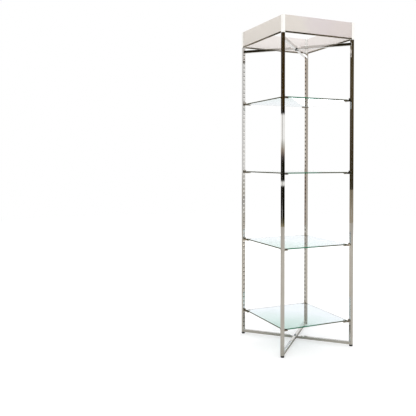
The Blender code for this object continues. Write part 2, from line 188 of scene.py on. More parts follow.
LEFT_POST_GREYS = (
    (0.0, "#c6c2b8"),
    (0.2, "#d6d3cc"),
    (0.4, "#b8b6b2"),
    (0.5, "#d6d2c8"),
    (0.7, "#d8d6d0"),
    (0.9, "#ffffff"),
)
for card_name, middle, width, turn, level, colours in (
    ("banded_card_front", (2.99, -5.14), 0.63, 0, 1.3, FRONT_POST_BANDS),
    ("banded_card_rear", (-3.225, 4.69), 0.45, 0, 1.3, FRONT_POST_BANDS),
    ("brown_drape_right", (4.99, -5.14), 2.04, 0, 1.0, RIGHT_POST_BROWNS),
    ("brown_drape_rear_left", (-4.475, 4.69), 2.05, 0, 1.0, RIGHT_POST_BROWNS),
    ("tan_card_rear", (-2.83, 4.69), 0.34, 0, 1.0, REAR_POST_TANS),
    ("grey_card_front", (3.64, -5.14), 0.66, 0, 1.0, ((0.0, "#cfc6bc"), (3.3, "#cfc6bc"))),
    ("low_card_front", (2.46, -5.14), 0.43, 0, 1.0, LEFT_POST_GREYS),
    ("low_card_rear", (-2.505, 4.69), 0.31, 0, 1.0, LEFT_POST_GREYS),
    ("dark_drape_near_left", (-8.85, -9.0), 6.3, 0, 1.0, ((0.0, "#2a2618"), (5.0, "#2a2618"))),
    ("dark_drape_near_right", (-0.1, -9.0), 8.6, 0, 1.0, ((0.0, "#2a2618"), (5.0, "#2a2618"))),
    ("dark_drape_left", (-9.0, -5.8), 6.4, 90, 1.0, ((0.0, "#2a2618"), (6.5, "#2a2618"))),
    ("olive_drape_far_left", (-7.25, 1.04), 8.1, 64.4, 1.0, ((0.0, "#5a5344"), (6.5, "#5a5344"))),
    ("white_card_far_right", (6.7, 4.36), 3.0, 123, 1.5, ((2.6, "#ffffff"), (4.4, "#ffffff"))),
):
    low, high = colours[0][0], colours[-1][0]
    bpy.ops.mesh.primitive_plane_add(
        size=1,
        location=(*middle, (low + high) / 2),
        rotation=(math.pi / 2, 0, math.radians(turn)),
    )
    card = bpy.context.object
    card.name = card_name
    card.scale = (width, high - low, 1)
    card.visible_camera = False
    card.visible_diffuse = False
    card.visible_transmission = False
    card.visible_volume_scatter = False
    card.visible_shadow = False
    card_paint = bpy.data.materials.new(card_name)
    card_paint.use_nodes = True
    paint = card_paint.node_tree
    paint.nodes.clear()
    on_card = add_node(paint, "ShaderNodeTexCoord")
    up_card = add_node(paint, "ShaderNodeSeparateXYZ", None, {"Vector": on_card.outputs["Generated"]})
    bands = add_node(paint, "ShaderNodeValToRGB", None, {"Fac": up_card.outputs["Y"]})
    bands.color_ramp.elements[0].color = linear(colours[0][1])
    bands.color_ramp.elements[1].color = linear(colours[-1][1])
    for height, code in colours[1:-1]:
        bands.color_ramp.elements.new((height - low) / (high - low)).color = linear(code)
    card_glow = add_node(
        paint, "ShaderNodeEmission", {"Strength": level}, {"Color": bands.outputs["Color"]}
    )
    add_node(paint, "ShaderNodeOutputMaterial", None, {"Surface": card_glow.outputs[0]})
    card.data.materials.append(card_paint)

LAMP_AIM = Vector((0, 0, 0.95))
for lamp_name, place, size, power in (
    ("key_softbox", (2.6, -3.6, 3.4), 2.4, 32.0),
    ("fill_softbox", (-3.4, -1.6, 2.6), 2.4, 29.0),
    ("low_softbox", (-2.0, -3.4, 0.5), 1.2, 22.0),
    ("back_softbox", (3.0, 3.4, 2.8), 2.4, 60.0),
):
    lamp = bpy.data.lights.new(lamp_name, "AREA")
    lamp.shape = "DISK"
    lamp.size = size
    lamp.energy = power
    stand = bpy.data.objects.new(lamp_name, lamp)
    bpy.context.scene.collection.objects.link(stand)
    stand.location = place
    stand.visible_glossy = False
    stand.rotation_euler = (LAMP_AIM - Vector(place)).to_track_quat("-Z", "Y").to_euler()

CAMERA_PLACE = (-1.7569, -2.7204, 1.0478)
CAMERA_DROP = 0.968  # degrees below level
CAMERA_TURN = 23.792  # degrees from +Y towards +X
camera = bpy.data.objects.new("camera", bpy.data.cameras.new("camera"))
bpy.context.scene.collection.objects.link(camera)
camera.location = CAMERA_PLACE
camera.rotation_euler = (math.radians(90 - CAMERA_DROP), 0, math.radians(-CAMERA_TURN))
camera.data.sensor_width = 36.0
camera.data.lens = 47.52
camera.data.shift_y = -0.0927
bpy.context.scene.camera = camera


# Levelling feet: moulded black nylon pads with a ribbed rim for the fingers, each on a stem that screws
# into the insert in the lower end of its post.

POST_SPACING = 449 * MM
CORNERS = {"front": (-1, -1, 0), "right": (1, -1, 90), "rear": (1, 1, 180), "left": (-1, 1, 270)}
FRAME_OF = {"front": "frame_b", "right": "frame_a", "rear": "frame_b", "left": "frame_a"}
FOOT_RADIUS = 10 * MM
FOOT_PAD = 4.5 * MM
FOOT_NECK_RADIUS = 5.5 * MM
FOOT_NECK = 2.4 * MM
FOOT_STEM_RADIUS = 3 * MM
FOOT_STEM = 22 * MM
FOOT_ROUND = 1.4 * MM
FOOT_EASE = 0.6 * MM
FOOT_RIM_BAND = 0.2 * MM
RIB_DEGREES = 7.5
RIB_BORDER = 0.12 * MM
RIB_DEPTH = 0.45 * MM
NEAR = 0.05 * MM  # how close counts as being at a place


def begin(name, primitive, **settings):
    """Adds a primitive alone, with its size and place in its mesh."""
    if bpy.context.mode != "OBJECT":
        bpy.ops.object.mode_set(mode="OBJECT")
    bpy.ops.object.select_all(action="DESELECT")
    primitive(**settings)
    made = bpy.context.object
    made.name = name
    bpy.ops.object.transform_apply(location=True, rotation=True, scale=True)
    return made


def choose(kind, wanted):
    """Opens the active piece for editing and selects the faces or edges that are wanted."""
    bpy.ops.object.mode_set(mode="EDIT")
    bpy.ops.mesh.select_mode(type=kind)
    bpy.ops.mesh.select_all(action="DESELECT")
    shape = bmesh.from_edit_mesh(bpy.context.object.data)
    shape.normal_update()
    for item in list(shape.faces if kind == "FACE" else shape.edges):
        if wanted(item):
            item.select_set(True)
    bmesh.update_edit_mesh(bpy.context.object.data)


def middle_of(item):
    """The middle of a face or an edge."""
    return sum((corner.co for corner in item.verts), Vector()) / len(item.verts)


def raise_face(distance):
    """Extrudes the selected face straight up."""
    bpy.ops.mesh.extrude_region_move(TRANSFORM_OT_translate={"value": (0, 0, distance)})


def change(piece, kind, **settings):
    """Gives a piece a modifier and applies it."""
    modifier = piece.modifiers.new(kind.lower(), kind)
    for name, value in settings.items():
        setattr(modifier, name, value)
    bpy.context.view_layer.objects.active = piece
    bpy.ops.object.modifier_apply(modifier=modifier.name)


def smooth(piece, degrees=32):
    """Shades the rounded parts of a piece smooth and keeps its flats flat."""
    bpy.ops.object.mode_set(mode="OBJECT")
    bpy.ops.object.select_all(action="DESELECT")
    piece.select_set(True)
    bpy.context.view_layer.objects.active = piece
    bpy.ops.object.shade_smooth_by_angle(angle=math.radians(degrees))
    change(piece, "WEIGHTED_NORMAL", keep_sharp=True)


def copy_to(model, name, placing):
    """A copy of a piece with its own mesh, moved to its place."""
    made = model.copy()
    made.data = model.data.copy()
    made.name = name
    made.data.transform(placing)
    bpy.context.scene.collection.objects.link(made)
    return made


def at_corner(corner, height=0.0):
    """From the tower's centre line to a corner, turned as that corner's post is turned."""
    side_x, side_y, turn = CORNERS[corner]
    place = Vector((side_x * POST_SPACING / 2, side_y * POST_SPACING / 2, height))
    return Matrix.Translation(place) @ Matrix.Rotation(math.radians(turn), 4, "Z")


def fit(piece, node, body):
    """Puts a piece in the place of a CAD node, on its body, and hides the node."""
    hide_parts(node)
    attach(piece, body)


def new_finish(name, fixed):
    """A material of one Principled shader, with its node tree, its shader and the place on the piece."""
    material = bpy.data.materials.new(name)
    material.use_nodes = True
    tree = material.node_tree
    shader = tree.nodes["Principled BSDF"]
    for socket, value in fixed.items():
        shader.inputs[socket].default_value = value
    place = add_node(tree, "ShaderNodeTexCoord").outputs["Object"]
    return material, tree, shader, place


# Moulded nylon is a dull black with a fine sparked grain, paler where the rim has been handled.
nylon, tree, shader, place = new_finish("moulded_black_nylon", {"IOR": 1.53})
grain = add_node(tree, "ShaderNodeTexNoise", {"Scale": 1 / (0.8 * MM), "Detail": 3.0}, {"Vector": place})
patches = add_node(tree, "ShaderNodeTexNoise", {"Scale": 1 / (9 * MM), "Detail": 2.0}, {"Vector": place})
shade = add_node(tree, "ShaderNodeValToRGB", None, {"Fac": patches.outputs["Fac"]})
shade.color_ramp.elements[0].position = 0.3
shade.color_ramp.elements[0].color = linear("#191917")
shade.color_ramp.elements[1].position = 0.75
shade.color_ramp.elements[1].color = linear("#2e2e2a")
dullness = add_node(
    tree,
    "ShaderNodeMapRange",
    {"From Min": 0.3, "From Max": 0.7, "To Min": 0.42, "To Max": 0.62},
    {"Value": grain.outputs["Fac"]},
)
relief = add_node(
    tree, "ShaderNodeBump", {"Strength": 0.25, "Distance": 0.06 * MM}, {"Height": grain.outputs["Fac"]}
)
tree.links.new(shade.outputs["Color"], shader.inputs["Base Color"])
tree.links.new(dullness.outputs["Result"], shader.inputs["Roughness"])
tree.links.new(relief.outputs["Normal"], shader.inputs["Normal"])

foot = begin(
    "foot_model",
    bpy.ops.mesh.primitive_cylinder_add,
    vertices=48,
    radius=FOOT_RADIUS,
    depth=FOOT_PAD,
    location=(0, 0, FOOT_PAD / 2),
)
choose("FACE", lambda face: face.normal.z > 0.9)
bpy.ops.mesh.inset(thickness=FOOT_RADIUS - FOOT_NECK_RADIUS)
raise_face(FOOT_NECK)
bpy.ops.mesh.inset(thickness=FOOT_NECK_RADIUS - FOOT_STEM_RADIUS)
raise_face(FOOT_STEM)
rim = FOOT_RADIUS - FOOT_RIM_BAND
choose("EDGE", lambda edge: middle_of(edge).z > FOOT_PAD - NEAR and middle_of(edge).xy.length > rim)
bpy.ops.mesh.bevel(offset=FOOT_ROUND, segments=4)
choose("EDGE", lambda edge: middle_of(edge).z < NEAR and middle_of(edge).xy.length > rim)
bpy.ops.mesh.bevel(offset=FOOT_EASE, segments=2)


def between_ribs(face):
    """True for every second face round the rim."""
    at = middle_of(face)
    if abs(face.normal.z) > 0.1 or at.xy.length < rim:
        return False
    return int(math.degrees(math.atan2(at.y, at.x) % math.tau) / RIB_DEGREES) % 2 == 0


choose("FACE", between_ribs)
bpy.ops.mesh.inset(thickness=RIB_BORDER, depth=-RIB_DEPTH, use_individual=True)
smooth(foot)
foot.data.materials.append(nylon)
for corner in CORNERS:
    pad = copy_to(foot, f"nylon_foot_{corner}", at_corner(corner))
    fit(pad, f"levelling_foot_{corner}", f"foot_{corner}")
bpy.data.objects.remove(foot)


# Inserts: moulded black plugs pressed into the lower ends of the posts. A flange covers the tube's end
# and a bore takes the foot's stem.

POST_BOTTOM = 9 * MM
POST_TOP = 1719 * MM
POST_WIDTH = 16 * MM
POST_WALL = 1.5 * MM
POST_CORNER = 1.2 * MM
PIECE_GAP = 0.3 * MM
PLUG_FLANGE = 1.5 * MM
PLUG_DEPTH = 18 * MM
PLUG_BORE_RADIUS = 3.3 * MM
PLUG_EASE = 0.35 * MM
PLUG_LEAD_IN = 1.2 * MM
CORNER_STEPS = 6


def upright(edge):
    """True for an edge that runs straight up."""
    run = edge.verts[1].co - edge.verts[0].co
    return run.xy.length < NEAR and abs(run.z) > NEAR


def block(name, low, high):
    """A box between two corners, as a start."""
    low, high = Vector(low), Vector(high)
    return begin(
        name, bpy.ops.mesh.primitive_cube_add, size=1, location=(low + high) / 2, scale=high - low
    )


def cut(piece, *cutters):
    """Cuts other shapes out of a piece and takes them away."""
    bpy.ops.object.mode_set(mode="OBJECT")
    for cutter in cutters:
        change(piece, "BOOLEAN", operation="DIFFERENCE", solver="EXACT", object=cutter)
        bpy.data.objects.remove(cutter)


def bar(radius, low, high, sides=32):
    """A round or many-sided bar on the centre line, for boring."""
    return begin(
        "boring_bar",
        bpy.ops.mesh.primitive_cylinder_add,
        vertices=sides,
        radius=radius,
        depth=high - low,
        location=(0, 0, (low + high) / 2),
    )


half = POST_WIDTH / 2
inside = half - POST_WALL - PIECE_GAP
plug = block("plug_model", (-half, -half, 0), (half, half, PLUG_FLANGE))
choose("EDGE", upright)
bpy.ops.mesh.bevel(offset=POST_CORNER, segments=CORNER_STEPS)
choose("EDGE", lambda edge: middle_of(edge).z > PLUG_FLANGE - NEAR)
bpy.ops.mesh.bevel(offset=PLUG_EASE, segments=2)
bpy.ops.object.mode_set(mode="OBJECT")
body = block("plug_body", (-inside, -inside, -PLUG_DEPTH), (inside, inside, PLUG_FLANGE / 2))
choose("EDGE", lambda edge: middle_of(edge).z < -PLUG_DEPTH + NEAR)
bpy.ops.mesh.bevel(offset=PLUG_LEAD_IN, segments=1)
bpy.ops.object.mode_set(mode="OBJECT")
change(plug, "BOOLEAN", operation="UNION", solver="EXACT", object=body)
bpy.data.objects.remove(body)
cut(plug, bar(PLUG_BORE_RADIUS, -2 * PLUG_DEPTH, PLUG_DEPTH))
smooth(plug)
flipped = Matrix.Rotation(math.pi, 4, "X")
for corner in CORNERS:
    insert = copy_to(plug, f"end_insert_{corner}", at_corner(corner, POST_BOTTOM - PIECE_GAP) @ flipped)
    insert.data.materials.append(nylon)
    fit(insert, f"foot_insert_{corner}", FRAME_OF[corner])


# Posts: square steel tube with softly rounded corners, polished and chromed, with a column of pressed
# slots for the shelf clips up the face that looks along to the next corner.

SLOT_COUNT = 65
SLOT_PITCH = 25.4 * MM
FIRST_SLOT = POST_BOTTOM + 38.8 * MM
SLOT_HEIGHT = 12 * MM
SLOT_WIDTH = 8 * MM
SLOT_CORNER = 1 * MM
SKIN = 0.4 * MM  # what lies deeper than this in a tube has the inside's finish
INSIDE_REACH = 1 * MM

# Chrome mirrors what stands round it, a little dulled in clouds by handling, with fine polishing lines
# up the tube that are drawn coarser than the real ones so that they show.
chrome, tree, shader, place = new_finish("polished_chrome_plate", {"Metallic": 1.0})
clouds = add_node(
    tree,
    "ShaderNodeTexNoise",
    {"Scale": 1 / (45 * MM), "Detail": 4.0, "Roughness": 0.62},
    {"Vector": place},
)
tone = add_node(tree, "ShaderNodeValToRGB", None, {"Fac": clouds.outputs["Fac"]})
tone.color_ramp.elements[0].position = 0.3
tone.color_ramp.elements[0].color = linear("#d3d2d0")
tone.color_ramp.elements[1].position = 0.8
tone.color_ramp.elements[1].color = linear("#cac8c4")
haze = add_node(
    tree,
    "ShaderNodeMapRange",
    {"From Min": 0.4, "From Max": 0.75, "To Min": 0.015, "To Max": 0.035},
    {"Value": clouds.outputs["Fac"]},
)
along = add_node(
    tree,
    "ShaderNodeMapping",
    {"Scale": (1 / (1.2 * MM), 1 / (1.2 * MM), 1 / (160 * MM))},
    {"Vector": place},
)
lines = add_node(tree, "ShaderNodeTexNoise", {"Scale": 1.0, "Detail": 2.0}, {"Vector": along.outputs[0]})
relief = add_node(
    tree, "ShaderNodeBump", {"Strength": 0.03, "Distance": 0.02 * MM}, {"Height": lines.outputs["Fac"]}
)
tree.links.new(tone.outputs["Color"], shader.inputs["Base Color"])
tree.links.new(haze.outputs["Result"], shader.inputs["Roughness"])
tree.links.new(relief.outputs["Normal"], shader.inputs["Normal"])

# The tube's inside is plated too, in a pale mirror whiter than the chrome outside: a painted light that
# makes the slots and the arms' hollows read pale.
pale_slot_painted_light, tree, shader, place = new_finish("pale_inside_painted_light", {"Metallic": 1.0})
flakes = add_node(tree, "ShaderNodeTexNoise", {"Scale": 1 / (6 * MM), "Detail": 5.0}, {"Vector": place})
tone = add_node(tree, "ShaderNodeValToRGB", None, {"Fac": flakes.outputs["Fac"]})
tone.color_ramp.elements[0].position = 0.35
tone.color_ramp.elements[0].color = linear("#fdfcfa")
tone.color_ramp.elements[1].position = 0.7
tone.color_ramp.elements[1].color = linear("#f8f7f4")
dullness = add_node(
    tree,
    "ShaderNodeMapRange",
    {"From Min": 0.3, "From Max": 0.7, "To Min": 0.03, "To Max": 0.07},
    {"Value": flakes.outputs["Fac"]},
)
tree.links.new(tone.outputs["Color"], shader.inputs["Base Color"])
tree.links.new(dullness.outputs["Result"], shader.inputs["Roughness"])

# The front and rear tubes are painted dark inside instead: a painted shade that makes their slots read
# dark.
dark_slot_painted_shade, tree, shader, place = new_finish("dark_inside_painted_shade", {"Metallic": 0.3})
flakes = add_node(tree, "ShaderNodeTexNoise", {"Scale": 1 / (6 * MM), "Detail": 5.0}, {"Vector": place})
tone = add_node(tree, "ShaderNodeValToRGB", None, {"Fac": flakes.outputs["Fac"]})
tone.color_ramp.elements[0].position = 0.35
tone.color_ramp.elements[0].color = linear("#1a140e")
tone.color_ramp.elements[1].position = 0.7
tone.color_ramp.elements[1].color = linear("#2c241a")
dullness = add_node(
    tree,
    "ShaderNodeMapRange",
    {"From Min": 0.3, "From Max": 0.7, "To Min": 0.6, "To Max": 0.8},
    {"Value": flakes.outputs["Fac"]},
)
tree.links.new(tone.outputs["Color"], shader.inputs["Base Color"])
tree.links.new(dullness.outputs["Result"], shader.inputs["Roughness"])

OVERRUN = 5 * MM


def tube(name, low, high):
    """A square tube that stands on the centre line, with its outer corners rounded."""
    made = block(name, (-half, -half, low), (half, half, high))
    choose("EDGE", upright)
    bpy.ops.mesh.bevel(offset=POST_CORNER, segments=CORNER_STEPS)
    bpy.ops.object.mode_set(mode="OBJECT")
    bore = half - POST_WALL
    cut(made, block("tube_bore", (-bore, -bore, low - OVERRUN), (bore, bore, high + OVERRUN)))
    return made


def second_finish(piece, where):
    """Gives the faces whose middles are in a certain place the piece's second material."""
    for face in piece.data.polygons:
        face.material_index = 1 if where(face.center) else 0


post = tube("post_model", POST_BOTTOM, POST_TOP)
slots = block(
    "slot_punch",
    (half - 2 * POST_WALL, -SLOT_WIDTH / 2, FIRST_SLOT - SLOT_HEIGHT / 2),
    (half + OVERRUN, SLOT_WIDTH / 2, FIRST_SLOT + SLOT_HEIGHT / 2),
)
choose("EDGE", lambda edge: abs((edge.verts[1].co - edge.verts[0].co).x) > NEAR)
bpy.ops.mesh.bevel(offset=SLOT_CORNER, segments=3)
bpy.ops.object.mode_set(mode="OBJECT")
change(
    slots,
    "ARRAY",
    count=SLOT_COUNT,
    use_relative_offset=False,
    use_constant_offset=True,
    constant_offset_displace=(0, 0, SLOT_PITCH),
)
cut(post, slots)
post.data.materials.append(chrome)
post.data.materials.append(pale_slot_painted_light)
# Painted light: the tube's inside, and so its slots, take the pale plate.
second_finish(
    post, lambda at: max(abs(at.x), abs(at.y)) < half - SKIN and at.xy.length < half + INSIDE_REACH
)
smooth(post)
for corner in CORNERS:
    upright_tube = copy_to(post, f"chromed_tube_{corner}", at_corner(corner))
    if FRAME_OF[corner] == "frame_b":
        # Painted shade: the insides of the front and rear tubes, and so their slots, are dark.
        upright_tube.data.materials[1] = dark_slot_painted_shade
    fit(upright_tube, f"post_{corner}", FRAME_OF[corner])
bpy.data.objects.remove(post)


# Crossed arms: the same chromed tube, one pair at the base and one under the top, notched to half height
# where they cross so that each frame stays at one level, and welded to the posts' inner corners.

ARM_SIDE = 16 * MM
ARM_REACH = POST_SPACING / 2 * math.sqrt(2)
ARM_BOTTOMS = {"base": 9 * MM, "top": 1688.5 * MM}
NOTCH_HALF = 30.86 * MM
PIVOT_HOLE_RADIUS = 3.3 * MM
ARM_SKIN = 0.9 * MM

lay_down = Matrix.Rotation(math.pi / 2, 4, "Y")
arms = {}
for way, keeps_top in (("left_right", False), ("front_rear", True)):
    arm = tube(f"arm_model_{way}", -ARM_REACH, ARM_REACH)
    arm.data.transform(lay_down)
    seat = half + PIECE_GAP
    seats = []
    for end in (-ARM_REACH, ARM_REACH):
        seats.append(block("post_seat", (-seat, -seat, -ARM_SIDE), (seat, seat, ARM_SIDE)))
        seats[-1].data.transform(Matrix.Translation((end, 0, 0)) @ Matrix.Rotation(math.pi / 4, 4, "Z"))
    level = PIECE_GAP / 2
    low, high = (-ARM_SIDE, level) if keeps_top else (-level, ARM_SIDE)
    notch = block("crossing_notch", (-NOTCH_HALF, -ARM_SIDE, low), (NOTCH_HALF, ARM_SIDE, high))
    cut(arm, *seats, notch, bar(PIVOT_HOLE_RADIUS, -ARM_SIDE, ARM_SIDE))
    arm.data.materials.append(chrome)
    # Painted light: the arm's hollows take the pale inside.
    arm.data.materials.append(pale_slot_painted_light)
    second_finish(arm, lambda at: max(abs(at.y), abs(at.z)) < half - ARM_SKIN)
    smooth(arm)
    arms[way] = arm

for level_name, bottom in ARM_BOTTOMS.items():
    for way, turn, body_name in (("left_right", -45, "frame_a"), ("front_rear", 45, "frame_b")):
        turned = Matrix.Rotation(math.radians(turn), 4, "Z")
        placing = Matrix.Translation((0, 0, bottom + ARM_SIDE / 2)) @ turned
        crossed = copy_to(arms[way], f"chromed_arm_{level_name}_{way}", placing)
        fit(crossed, f"{level_name}_arm_{way}", body_name)
for arm in arms.values():
    bpy.data.objects.remove(arm)


# Weld beads: the small rippled seams where the arms meet the posts. They were run round each arm's end
# by hand and plated over with the frame.

BEAD_RADIUS = 0.9 * MM
BEAD_STEPS = 72
BEAD_RIPPLE = 0.18
BEAD_RIPPLE_TURN = 2.1  # radians of ripple from one step to the next
BEAD_TURN = -135  # degrees from a post's slots round to its arm

bead_line = bpy.data.curves.new("weld_bead", "CURVE")
bead_line.dimensions = "3D"
bead_line.bevel_depth = BEAD_RADIUS
bead_line.bevel_resolution = 2
bead_path = bead_line.splines.new("POLY")
bead_path.points.add(BEAD_STEPS - 1)
bead_path.use_cyclic_u = True
round_part = half - POST_CORNER
for step, point in enumerate(bead_path.points):
    angle = math.tau * (step + 0.5) / BEAD_STEPS
    reach = 1 / max(abs(math.cos(angle)), abs(math.sin(angle)))
    across = Vector((math.cos(angle), math.sin(angle))) * reach * half
    core = Vector([max(-round_part, min(round_part, value)) for value in across])
    if (across - core).length > NEAR and abs(across.x) > round_part and abs(across.y) > round_part:
        across = core + (across - core).normalized() * POST_CORNER
    point.co = (-half * math.sqrt(2) + abs(across.x), across.x, across.y, 1)
    point.radius = 1.0 + BEAD_RIPPLE * math.sin(step * BEAD_RIPPLE_TURN)
bead = bpy.data.objects.new("bead_model", bead_line)
bpy.context.scene.collection.objects.link(bead)
bpy.ops.object.select_all(action="DESELECT")
bead.select_set(True)
bpy.context.view_layer.objects.active = bead
bpy.ops.object.convert(target="MESH")
bead = bpy.context.object
bead.data.materials.append(chrome)
smooth(bead, degrees=60)
for level_name, bottom in ARM_BOTTOMS.items():
    for corner in CORNERS:
        to_arm = Matrix.Rotation(math.radians(BEAD_TURN), 4, "Z")
        placing = at_corner(corner, bottom + ARM_SIDE / 2) @ to_arm
        seam = copy_to(bead, f"weld_bead_{level_name}_{corner}", placing)
        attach(seam, FRAME_OF[corner])
bpy.data.objects.remove(bead)


# Pivots: one at each crossing, where the two frames turn on each other. A zinc-plated button-head bolt
# with a hexagon socket and a washer goes down through both arms to a blackened nut.

WASHER_RADIUS = 6.25 * MM
WASHER_THICKNESS = 1 * MM
WASHER_EASE = 0.2 * MM
BOLT_RADIUS = 3 * MM
BOLT_HEAD_RADIUS = 5.5 * MM
BOLT_HEAD = 3.3 * MM
BOLT_HEAD_ROUND = 2.2 * MM
BOLT_LENGTH = 23.4 * MM
BOLT_TIP_EASE = 0.4 * MM
SOCKET_RADIUS = 2.3 * MM
SOCKET_DEPTH = 1.8 * MM
NUT_RADIUS = 5.77 * MM
NUT_HEIGHT = 5 * MM
NUT_EASE = 0.7 * MM

# Zinc plate is a soft bluish grey, mottled where the bath left its crystals.
zinc, tree, shader, place = new_finish("bright_zinc_plate", {"Metallic": 1.0})
crystals = add_node(tree, "ShaderNodeTexVoronoi", {"Scale": 1 / (1.4 * MM)}, {"Vector": place})
tone = add_node(tree, "ShaderNodeValToRGB", None, {"Fac": crystals.outputs["Distance"]})
tone.color_ramp.elements[0].color = linear("#b7bcc0")
tone.color_ramp.elements[1].color = linear("#9da1a4")
dullness = add_node(
    tree,
    "ShaderNodeMapRange",
    {"From Min": 0.0, "From Max": 0.8, "To Min": 0.24, "To Max": 0.38},
    {"Value": crystals.outputs["Distance"]},
)
tree.links.new(tone.outputs["Color"], shader.inputs["Base Color"])
tree.links.new(dullness.outputs["Result"], shader.inputs["Roughness"])

# Blackened steel keeps a thin oily sheen, with browner patches.
black_steel, tree, shader, place = new_finish("oil_blackened_steel", {"Metallic": 1.0})
patches = add_node(
    tree, "ShaderNodeTexNoise", {"Scale": 1 / (2.5 * MM), "Detail": 4.0}, {"Vector": place}
)
tone = add_node(tree, "ShaderNodeValToRGB", None, {"Fac": patches.outputs["Fac"]})
tone.color_ramp.elements[0].position = 0.35
tone.color_ramp.elements[0].color = linear("#24241f")
tone.color_ramp.elements[1].position = 0.75
tone.color_ramp.elements[1].color = linear("#3b372f")
dullness = add_node(
    tree,
    "ShaderNodeMapRange",
    {"From Min": 0.3, "From Max": 0.7, "To Min": 0.35, "To Max": 0.55},
    {"Value": patches.outputs["Fac"]},
)
tree.links.new(tone.outputs["Color"], shader.inputs["Base Color"])
tree.links.new(dullness.outputs["Result"], shader.inputs["Roughness"])

bolt = bar(BOLT_HEAD_RADIUS, 0, BOLT_HEAD, sides=40)
choose("EDGE", lambda edge: middle_of(edge).z > BOLT_HEAD - NEAR)
bpy.ops.mesh.bevel(offset=BOLT_HEAD_ROUND, segments=6)
choose("FACE", lambda face: face.normal.z < -0.9)
bpy.ops.mesh.inset(thickness=BOLT_HEAD_RADIUS - BOLT_RADIUS)
raise_face(-BOLT_LENGTH)
choose("EDGE", lambda edge: middle_of(edge).z < -BOLT_LENGTH + NEAR)
bpy.ops.mesh.bevel(offset=BOLT_TIP_EASE, segments=1)
cut(bolt, bar(SOCKET_RADIUS, BOLT_HEAD - SOCKET_DEPTH, BOLT_HEAD + OVERRUN, sides=6))
bolt.data.materials.append(zinc)
smooth(bolt)

washer = bar(WASHER_RADIUS, 0, WASHER_THICKNESS, sides=48)
choose("EDGE", lambda edge: not upright(edge))
bpy.ops.mesh.bevel(offset=WASHER_EASE, segments=2)
cut(washer, bar(BOLT_RADIUS + PIECE_GAP, -OVERRUN, OVERRUN))
washer.data.materials.append(zinc)
smooth(washer)

nut = bar(NUT_RADIUS, 0, NUT_HEIGHT, sides=6)
bpy.ops.object.mode_set(mode="OBJECT")
turned_blank = bar(NUT_RADIUS, 0, NUT_HEIGHT, sides=48)
choose("EDGE", lambda edge: not upright(edge))
bpy.ops.mesh.bevel(offset=NUT_EASE, segments=3)
bpy.ops.object.mode_set(mode="OBJECT")
change(nut, "BOOLEAN", operation="INTERSECT", solver="EXACT", object=turned_blank)
bpy.data.objects.remove(turned_blank)
cut(nut, bar(BOLT_RADIUS + PIECE_GAP, -OVERRUN, 2 * OVERRUN))
nut.data.materials.append(black_steel)
smooth(nut)

for level_name, bottom in ARM_BOTTOMS.items():
    washer_at = bottom + ARM_SIDE + PIECE_GAP
    head_at = washer_at + WASHER_THICKNESS + PIECE_GAP
    nut_at = bottom - PIECE_GAP - NUT_HEIGHT
    for model, name, part, height, slot in (
        (bolt, "button_bolt", "bolt", head_at, "zinc_bolt"),
        (washer, "plain_washer", "washer", washer_at, "zinc_bolt"),
        (nut, "hexagon_nut", "nut", nut_at, "blackened_nut"),
    ):
        fixing = copy_to(model, f"{name}_{level_name}", Matrix.Translation((0, 0, height)))
        fit(fixing, f"{level_name}_pivot_{part}", "frame_a")
    sleeve = frame["nodes"][f"{level_name}_pivot_sleeve"]
    sleeve.data.materials.clear()
    sleeve.data.materials.append(zinc)
for model in (bolt, washer, nut):
    bpy.data.objects.remove(model)


# Corner clips: sheet steel folded to a ledge with lips round the glass's corner, nickel plated bright,
# with a hook on the back plate that drops into a slot of the post.

CLIP_MERGE = 0.01 * MM
CLIP_EASE = 0.35 * MM

# Bright nickel is a mirror a little darker and warmer than chrome, with tumbling marks from the barrel.
nickel, tree, shader, place = new_finish("bright_nickel_plate", {"Metallic": 1.0})
marks = add_node(tree, "ShaderNodeTexNoise", {"Scale": 1 / (4 * MM), "Detail": 4.0}, {"Vector": place})
tone = add_node(tree, "ShaderNodeValToRGB", None, {"Fac": marks.outputs["Fac"]})
tone.color_ramp.elements[0].position = 0.3
tone.color_ramp.elements[0].color = linear("#b9b3a9")
tone.color_ramp.elements[1].position = 0.75
tone.color_ramp.elements[1].color = linear("#a19b91")
dullness = add_node(
    tree,
    "ShaderNodeMapRange",
    {"From Min": 0.3, "From Max": 0.7, "To Min": 0.05, "To Max": 0.12},
    {"Value": marks.outputs["Fac"]},
)
relief = add_node(
    tree, "ShaderNodeBump", {"Strength": 0.05, "Distance": 0.05 * MM}, {"Height": marks.outputs["Fac"]}
)
tree.links.new(tone.outputs["Color"], shader.inputs["Base Color"])
tree.links.new(dullness.outputs["Result"], shader.inputs["Roughness"])
tree.links.new(relief.outputs["Normal"], shader.inputs["Normal"])

to_centre = Matrix.Translation((POST_SPACING / 2, POST_SPACING / 2, 0))
clip = copy_to(frame["nodes"]["shelf_1_clip_front"], "clip_model", to_centre)
clip.parent = None
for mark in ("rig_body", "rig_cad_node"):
    del clip[mark]
clip.data.materials.clear()
clip.data.materials.append(nickel)
bpy.ops.object.select_all(action="DESELECT")
clip.select_set(True)
bpy.context.view_layer.objects.active = clip
bpy.ops.object.mode_set(mode="EDIT")
bpy.ops.mesh.select_all(action="SELECT")
bpy.ops.mesh.remove_doubles(threshold=CLIP_MERGE)
bpy.ops.mesh.dissolve_limited(angle_limit=math.radians(1))
bpy.ops.object.mode_set(mode="OBJECT")
change(clip, "BEVEL", width=CLIP_EASE, segments=3, limit_method="ANGLE", angle_limit=math.radians(30))
smooth(clip)

SHELVES = (1, 2, 3, 4)
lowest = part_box("glass_shelf_1")[0].z
for number in SHELVES:
    step_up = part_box(f"glass_shelf_{number}")[0].z - lowest
    for corner in CORNERS:
        folded = copy_to(clip, f"folded_clip_{number}_{corner}", at_corner(corner, step_up))
        fit(folded, f"shelf_{number}_clip_{corner}", FRAME_OF[corner])
bpy.data.objects.remove(clip)


# Shelves: square plates of 6 mm float glass with rounded corners and ground, polished edges. Each lies
# loose on four clips.

